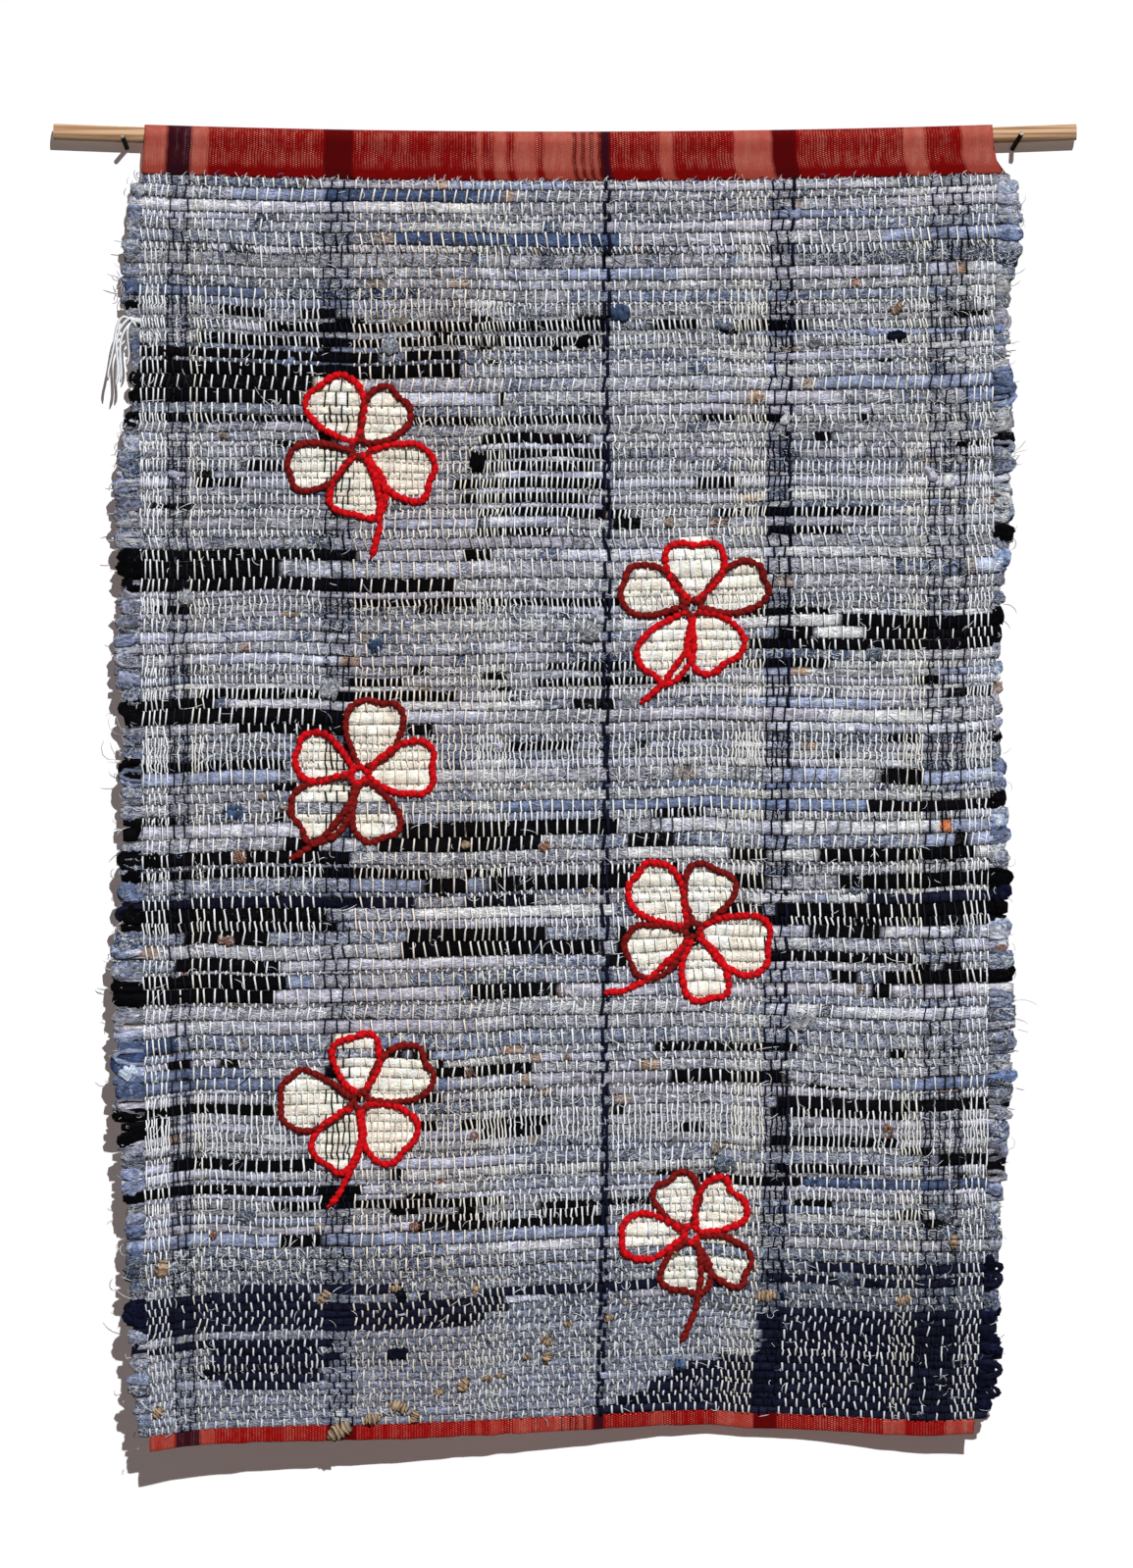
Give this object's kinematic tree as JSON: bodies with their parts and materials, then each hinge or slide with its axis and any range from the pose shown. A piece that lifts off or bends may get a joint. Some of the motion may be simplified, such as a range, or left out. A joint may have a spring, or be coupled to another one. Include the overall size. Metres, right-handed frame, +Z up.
{
  "type": "denim rag tapestry with hanging rod and nails",
  "caption": "Hand-woven denim rag tapestry on a bowed wooden dowel held by nails, with a red sleeve heading, a red foot and uneven selvedges.",
  "frame": {"origin": "on the wall, midway between the two nails, at about the height of their feet", "axes": "+Y into the wall, so the cloth's face looks to -Y; +X to the right as seen by a viewer; +Z up"},
  "size_m": [1.0006, 0.0676, 1.2952],
  "materials": {
    "denim_rag_cloth": "matte rag weave of faded denim strips on a striped cotton warp, red weft-faced heading and foot",
    "pine": "planed bare pine",
    "nail_steel": "dull bare wire nail"
  },
  "bodies": {
    "root": {"tapestry_cloth": "denim_rag_cloth", "hanging_rod": "pine", "nail_left": "nail_steel", "nail_right": "nail_steel"}
  },
  "joints": []
}
